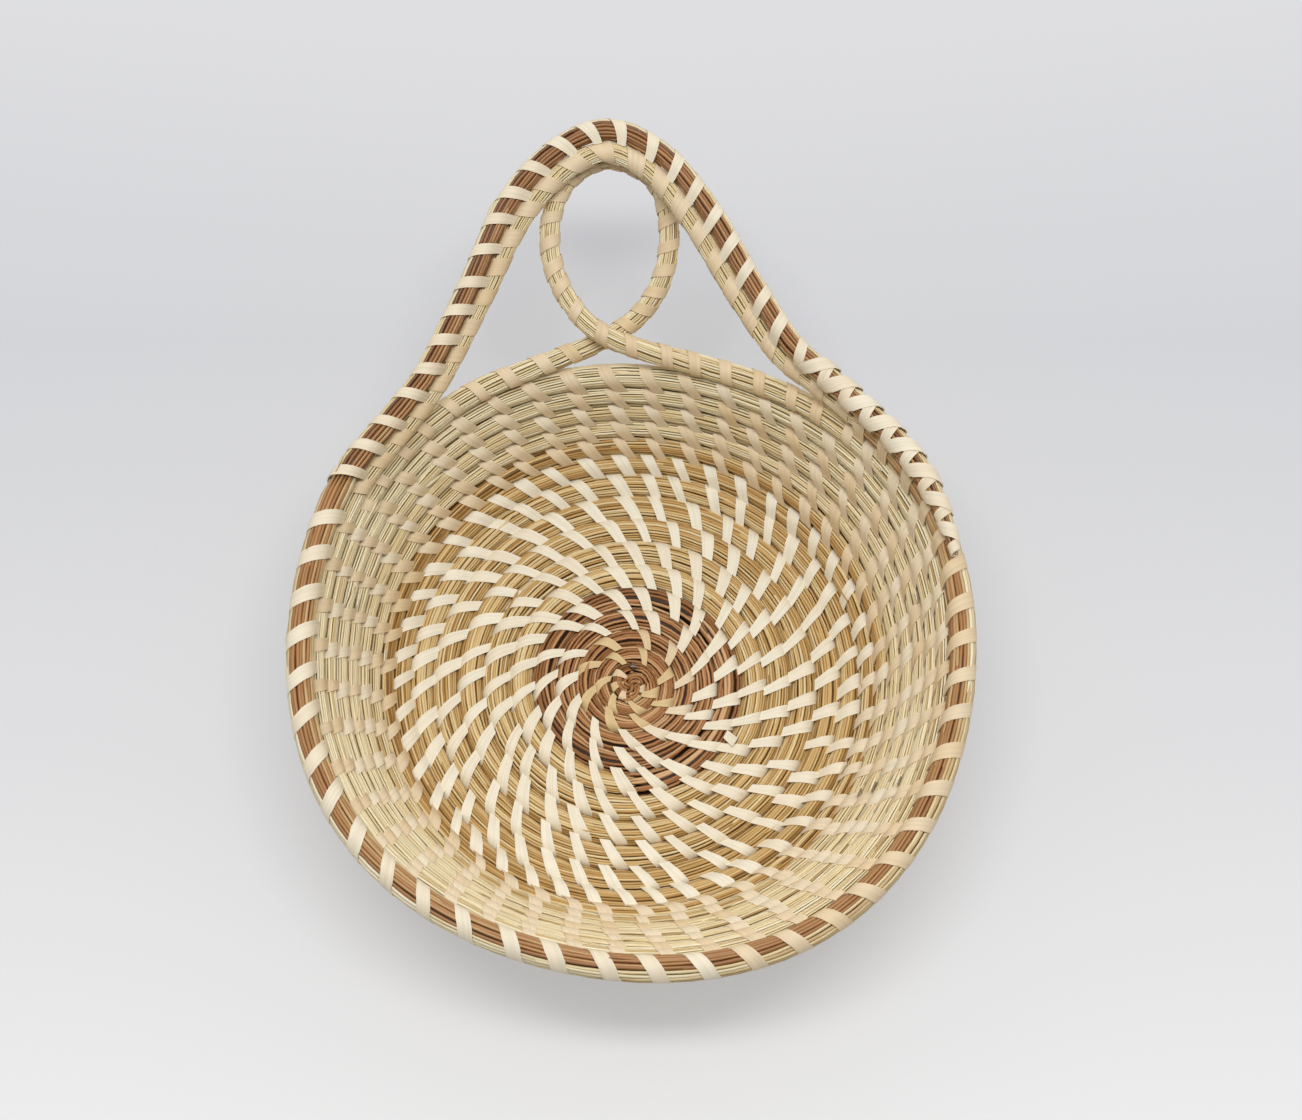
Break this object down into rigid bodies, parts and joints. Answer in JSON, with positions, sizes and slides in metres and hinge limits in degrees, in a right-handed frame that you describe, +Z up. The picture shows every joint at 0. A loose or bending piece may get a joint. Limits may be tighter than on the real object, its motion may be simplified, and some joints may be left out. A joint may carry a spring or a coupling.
{
  "type": "coiled basket",
  "caption": "Shallow round basket coiled from sewn bundles of grass, with an arched handle and a small loop leaning out at the back.",
  "frame": {"origin": "middle of the flat underside of the base", "axes": "+Z up out of the bowl, +Y towards the handle, +X to the right when the handle points away"},
  "size_m": [0.2019, 0.2622, 0.0841],
  "materials": {
    "pine_needle": "dried longleaf pine needle, reddish brown, slight sheen",
    "bulrush": "dried bulrush, straw tan, satin",
    "bulrush_and_pine": "bulrush mixed with pine needle, golden brown, satin",
    "sweetgrass": "dried sweetgrass sewn with palmetto strip, pale straw, satin",
    "pine_and_sweetgrass": "pine needle over sweetgrass, brown with a pale edge, satin"
  },
  "bodies": {
    "root": {"center_knot": "pine_needle", "pine_needle_coil": "pine_needle", "bulrush_coil": "bulrush", "base_edge_coil": "bulrush_and_pine", "wall_coil": "sweetgrass", "loop_coil": "sweetgrass", "top_row_coil": "sweetgrass", "handle_inner_coil": "sweetgrass", "rim_coil": "pine_and_sweetgrass", "handle_outer_coil": "pine_and_sweetgrass", "rim_tail": "pine_and_sweetgrass"}
  },
  "joints": []
}
